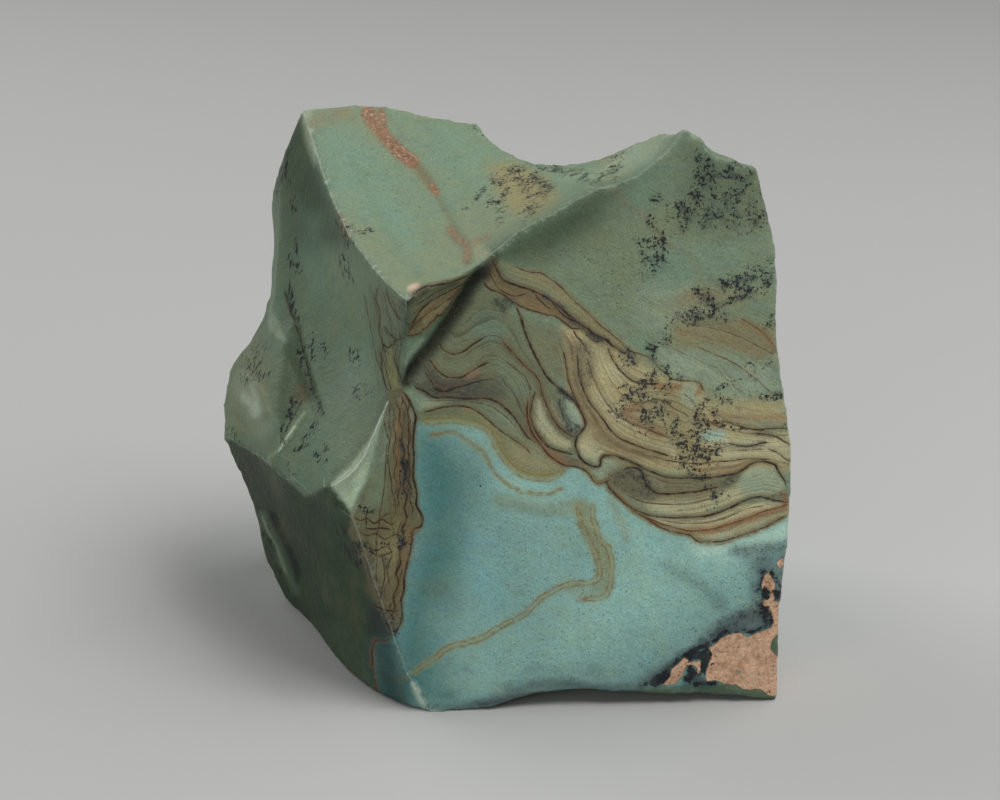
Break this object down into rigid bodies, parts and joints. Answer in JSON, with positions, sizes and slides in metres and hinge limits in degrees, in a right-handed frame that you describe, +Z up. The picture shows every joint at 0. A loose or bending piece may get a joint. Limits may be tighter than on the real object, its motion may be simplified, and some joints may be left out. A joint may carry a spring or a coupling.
{
  "type": "dendritic stone",
  "caption": "Hand-sized block of banded green and blue jasper with dark fern-like mineral specks, broken on every side, that stands on a flat break.",
  "frame": {"origin": "on the surface the stone stands on, under the middle of its bounding box", "axes": "+Z up, -Y out of the banded front, +X to the right of someone who looks at that front"},
  "size_m": [0.093, 0.0746, 0.0877],
  "materials": {
    "jasper": "fresh waxy break"
  },
  "bodies": {
    "root": {"stone": "jasper"}
  },
  "joints": []
}
